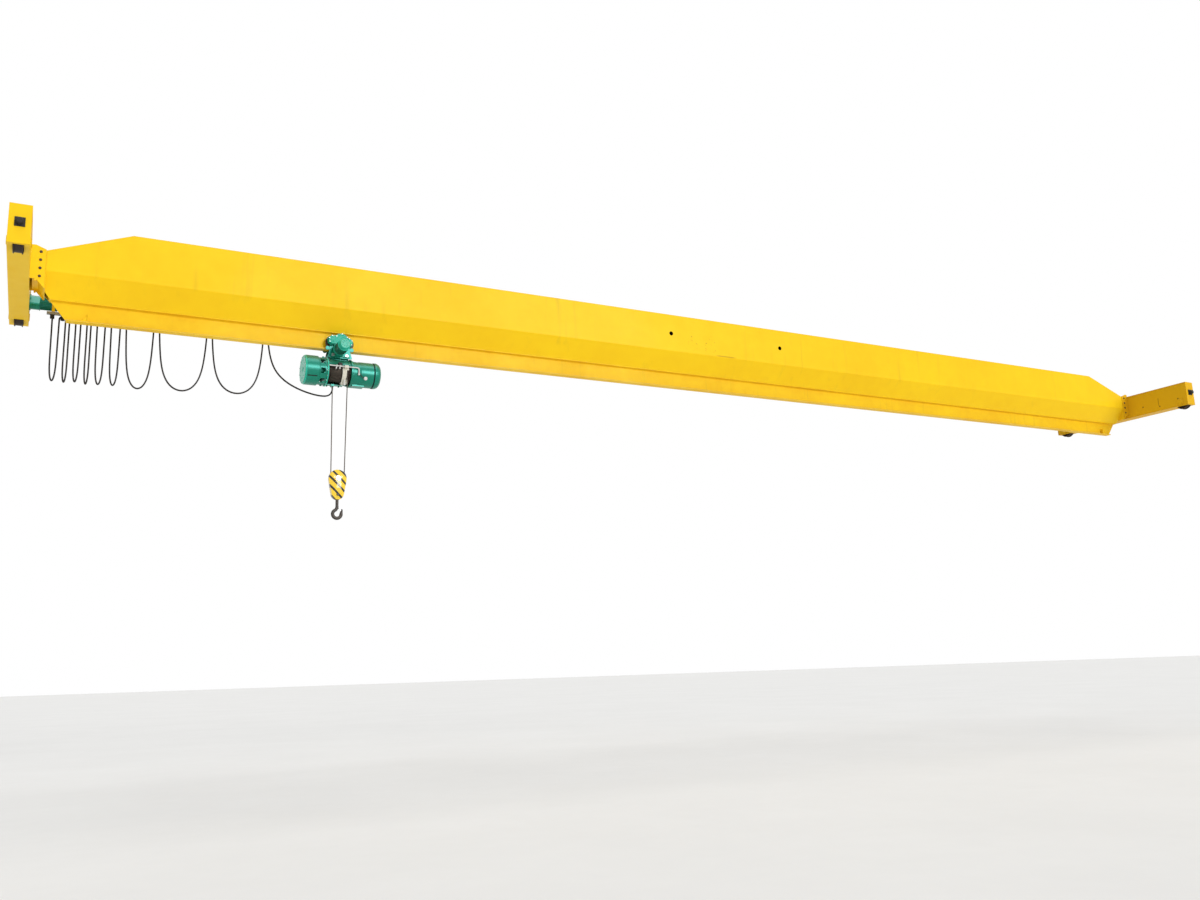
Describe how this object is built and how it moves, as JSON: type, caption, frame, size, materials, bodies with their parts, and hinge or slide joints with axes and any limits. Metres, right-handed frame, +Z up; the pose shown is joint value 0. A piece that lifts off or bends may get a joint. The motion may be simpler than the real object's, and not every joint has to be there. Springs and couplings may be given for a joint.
{
  "type": "overhead bridge crane",
  "caption": "Yellow box-girder bridge crane on two end carriages, with a green rope hoist and striped hook block on an underslung trolley.",
  "frame": {"origin": "mid-span between the runway rails, in the girder's middle plane, at the height of the rail heads", "axes": "+X along the girder to the picture's right end, +Y away from the picture's camera, +Z up"},
  "size_m": [22.77, 3.49, 3.821],
  "materials": {
    "enamel": "glossy yellow enamel",
    "green": "glossy green enamel",
    "block_enamel": "yellow enamel with black stripes",
    "wheel_steel": "oiled dark steel",
    "bright_steel": "bare steel",
    "galvanised": "galvanised steel",
    "forged": "dark forged steel",
    "cable": "matt black rubber",
    "buffer": "pale polyurethane",
    "guide": "cream cast guide",
    "rope": "greased wire rope"
  },
  "bodies": {
    "bridge": {"girder_trough": "enamel", "girder_lid": "enamel", "track_beam": "enamel", "left_nose": "enamel", "right_nose": "enamel", "left_carriage": "enamel", "right_carriage": "enamel", "left_bearings": "enamel", "right_bearings": "enamel", "left_buffers": "buffer", "right_buffers": "buffer", "left_drive": "green", "right_drive": "green", "track_stops": "enamel", "cable_rail": "galvanised", "rail_arms": "enamel", "cable_carriers": "cable", "festoon_cable": "cable"},
    "trolley": {"trolley_near_plate": "green", "trolley_far_plate": "green", "tie_bolts": "bright_steel", "travel_gearbox": "green", "travel_motor": "green", "hoist_casing": "green", "hoist_motor": "green", "hoist_gearbox": "green", "rope_guide": "guide", "guide_rod": "bright_steel", "control_box": "green", "hoist_ropes": "rope"},
    "hook_block": {"block_body": "block_enamel", "block_pin": "bright_steel", "crosshead": "forged"},
    "drum": {"rope_drum": "wheel_steel"},
    "sheave": {"block_sheave": "wheel_steel"},
    "hook": {"hook": "forged", "hook_latch": "bright_steel"},
    "near_left_roller": {"near_left_roller": "wheel_steel"},
    "near_right_roller": {"near_right_roller": "wheel_steel"},
    "far_left_roller": {"far_left_roller": "wheel_steel"},
    "far_right_roller": {"far_right_roller": "wheel_steel"},
    "left_near_wheel": {"left_near_wheel": "wheel_steel"},
    "left_far_wheel": {"left_far_wheel": "wheel_steel"},
    "right_near_wheel": {"right_near_wheel": "wheel_steel"},
    "right_far_wheel": {"right_far_wheel": "wheel_steel"}
  },
  "joints": [
    {"name": "trolley_travel", "type": "slide", "parent": "bridge", "child": "trolley", "axis": [1, 0, 0], "range_m": [-3, 17]},
    {"name": "hook_lift", "type": "slide", "parent": "trolley", "child": "hook_block", "axis": [0, 0, 1], "range_m": [-3.6, 1.1], "deforming": ["hoist_ropes"]},
    {"name": "drum_spin", "type": "hinge", "parent": "trolley", "child": "drum", "pos_m": [-7, 0, -0.672], "axis": [1, 0, 0], "range_deg": [-1000, 3200]},
    {"name": "sheave_spin", "type": "hinge", "parent": "hook_block", "child": "sheave", "pos_m": [-6.97, 0, -2.285], "axis": [0, 1, 0], "range_deg": [-700, 2200]},
    {"name": "hook_swivel", "type": "hinge", "parent": "hook_block", "child": "hook", "pos_m": [-6.97, 0, -2.525], "axis": [0, 0, 1], "continuous": true},
    {"name": "near_left_roller_roll", "type": "hinge", "parent": "trolley", "child": "near_left_roller", "pos_m": [-7.1, -0.05, -0.2337], "axis": [0, 1, 0], "range_deg": [-2000, 11000]},
    {"name": "near_right_roller_roll", "type": "hinge", "parent": "trolley", "child": "near_right_roller", "pos_m": [-6.88, -0.05, -0.2337], "axis": [0, 1, 0], "range_deg": [-2000, 11000]},
    {"name": "far_left_roller_roll", "type": "hinge", "parent": "trolley", "child": "far_left_roller", "pos_m": [-7.1, 0.05, -0.2337], "axis": [0, 1, 0], "range_deg": [-2000, 11000]},
    {"name": "far_right_roller_roll", "type": "hinge", "parent": "trolley", "child": "far_right_roller", "pos_m": [-6.88, 0.05, -0.2337], "axis": [0, 1, 0], "range_deg": [-2000, 11000]},
    {"name": "left_near_wheel_roll", "type": "hinge", "parent": "bridge", "child": "left_near_wheel", "pos_m": [-11.25, -1.5, 0.135], "axis": [1, 0, 0], "continuous": true},
    {"name": "left_far_wheel_roll", "type": "hinge", "parent": "bridge", "child": "left_far_wheel", "pos_m": [-11.25, 1.5, 0.135], "axis": [1, 0, 0], "continuous": true},
    {"name": "right_near_wheel_roll", "type": "hinge", "parent": "bridge", "child": "right_near_wheel", "pos_m": [11.25, -1.5, 0.135], "axis": [1, 0, 0], "continuous": true},
    {"name": "right_far_wheel_roll", "type": "hinge", "parent": "bridge", "child": "right_far_wheel", "pos_m": [11.25, 1.5, 0.135], "axis": [1, 0, 0], "continuous": true}
  ],
  "couplings": [
    {"joint": "drum_spin", "follows": "hook_lift", "rad_per_m": -13.908},
    {"joint": "sheave_spin", "follows": "hook_lift", "rad_per_m": -10.204},
    {"joint": "near_left_roller_roll", "follows": "trolley_travel", "rad_per_m": 11.074},
    {"joint": "near_right_roller_roll", "follows": "trolley_travel", "rad_per_m": 11.074},
    {"joint": "far_left_roller_roll", "follows": "trolley_travel", "rad_per_m": 11.074},
    {"joint": "far_right_roller_roll", "follows": "trolley_travel", "rad_per_m": 11.074}
  ]
}
